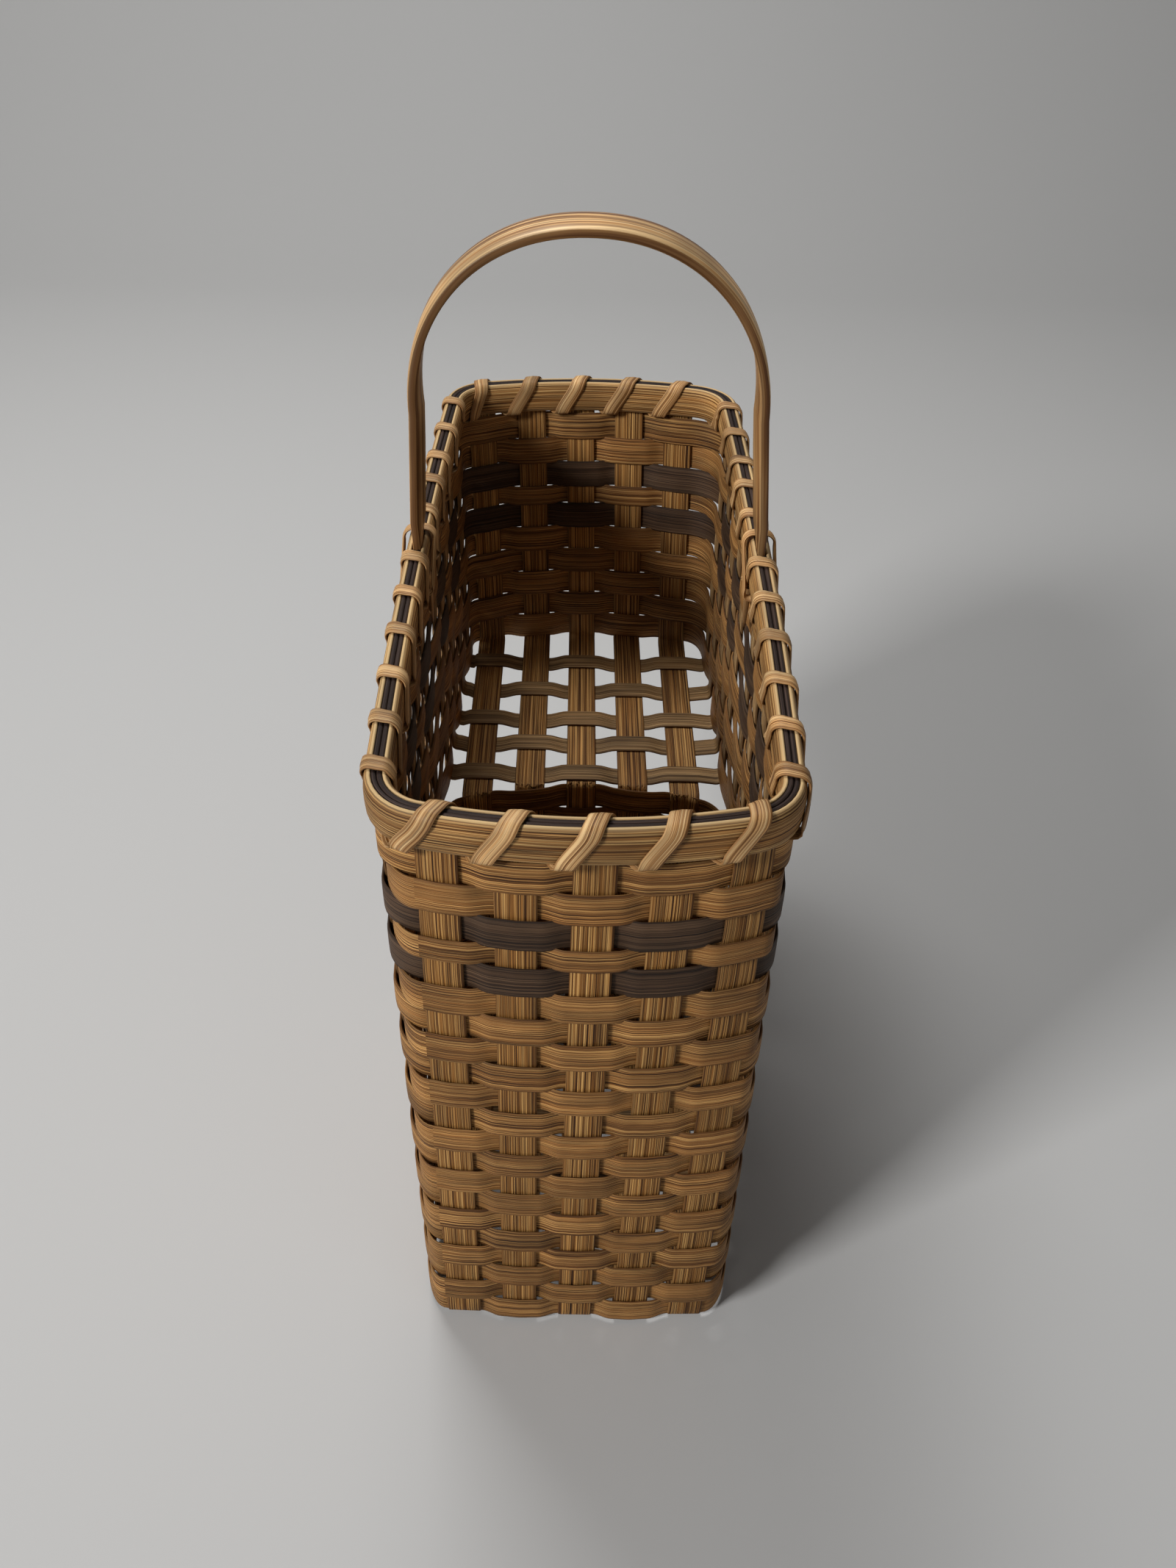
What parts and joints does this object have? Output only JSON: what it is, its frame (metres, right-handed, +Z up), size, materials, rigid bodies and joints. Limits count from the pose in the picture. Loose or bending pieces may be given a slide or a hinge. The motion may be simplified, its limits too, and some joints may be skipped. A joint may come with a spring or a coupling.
{
  "type": "woven stair basket",
  "caption": "Step-shaped basket of flat reed that stands on one stair and lies on the next, with a bound rim and a fixed bent-wood arch handle.",
  "frame": {"origin": "under the middle of the basket, on the stair that its deep end stands on", "axes": "+Z up, +Y from the deep end towards the shallow end, +X to the right seen from the deep end"},
  "size_m": [0.2008, 0.4728, 0.5484],
  "materials": {
    "stake_reed": "honey-brown flat reed, open straight grain, dull",
    "cross_stake_reed": "honey-brown flat reed, open straight grain, dull",
    "weaver_reed": "honey-brown flat reed with darker streaks, dull",
    "dyed_reed": "reed dyed dark grey-brown, dull, with faint streaks",
    "hoop_reed": "thick flat reed with pale cut edges",
    "filler_reed": "round reed dyed dark brown",
    "lashing_reed": "thin light reed, slightly glossy",
    "handle_wood": "stained bent wood, satin, with long grain"
  },
  "bodies": {
    "root": {"long_stake_1": "stake_reed", "long_stake_2": "stake_reed", "long_stake_3": "stake_reed", "long_stake_4": "stake_reed", "long_stake_5": "stake_reed", "cross_stake_01": "cross_stake_reed", "cross_stake_02": "cross_stake_reed", "cross_stake_03": "cross_stake_reed", "cross_stake_04": "cross_stake_reed", "cross_stake_05": "cross_stake_reed", "cross_stake_06": "cross_stake_reed", "cross_stake_07": "cross_stake_reed", "cross_stake_08": "cross_stake_reed", "cross_stake_09": "cross_stake_reed", "cross_stake_10": "cross_stake_reed", "cross_stake_11": "cross_stake_reed", "weaver_row_01": "weaver_reed", "weaver_row_02": "weaver_reed", "weaver_row_03": "dyed_reed", "weaver_row_04": "weaver_reed", "weaver_row_05": "dyed_reed", "weaver_row_06": "weaver_reed", "weaver_row_07": "weaver_reed", "weaver_row_08": "weaver_reed", "weaver_row_09": "weaver_reed", "weaver_row_10": "weaver_reed", "weaver_row_11": "weaver_reed", "weaver_row_12": "weaver_reed", "weaver_row_13": "weaver_reed", "weaver_row_14": "weaver_reed", "weaver_row_15": "weaver_reed", "weaver_row_16": "weaver_reed", "weaver_row_17": "weaver_reed", "weaver_row_18": "weaver_reed", "weaver_row_19": "weaver_reed", "weaver_row_20": "weaver_reed", "weaver_row_21": "weaver_reed", "rim_hoop_outer": "hoop_reed", "rim_hoop_inner": "hoop_reed", "rim_filler_near": "filler_reed", "rim_filler_far": "filler_reed", "rim_lashing": "lashing_reed", "handle": "handle_wood"}
  },
  "joints": []
}
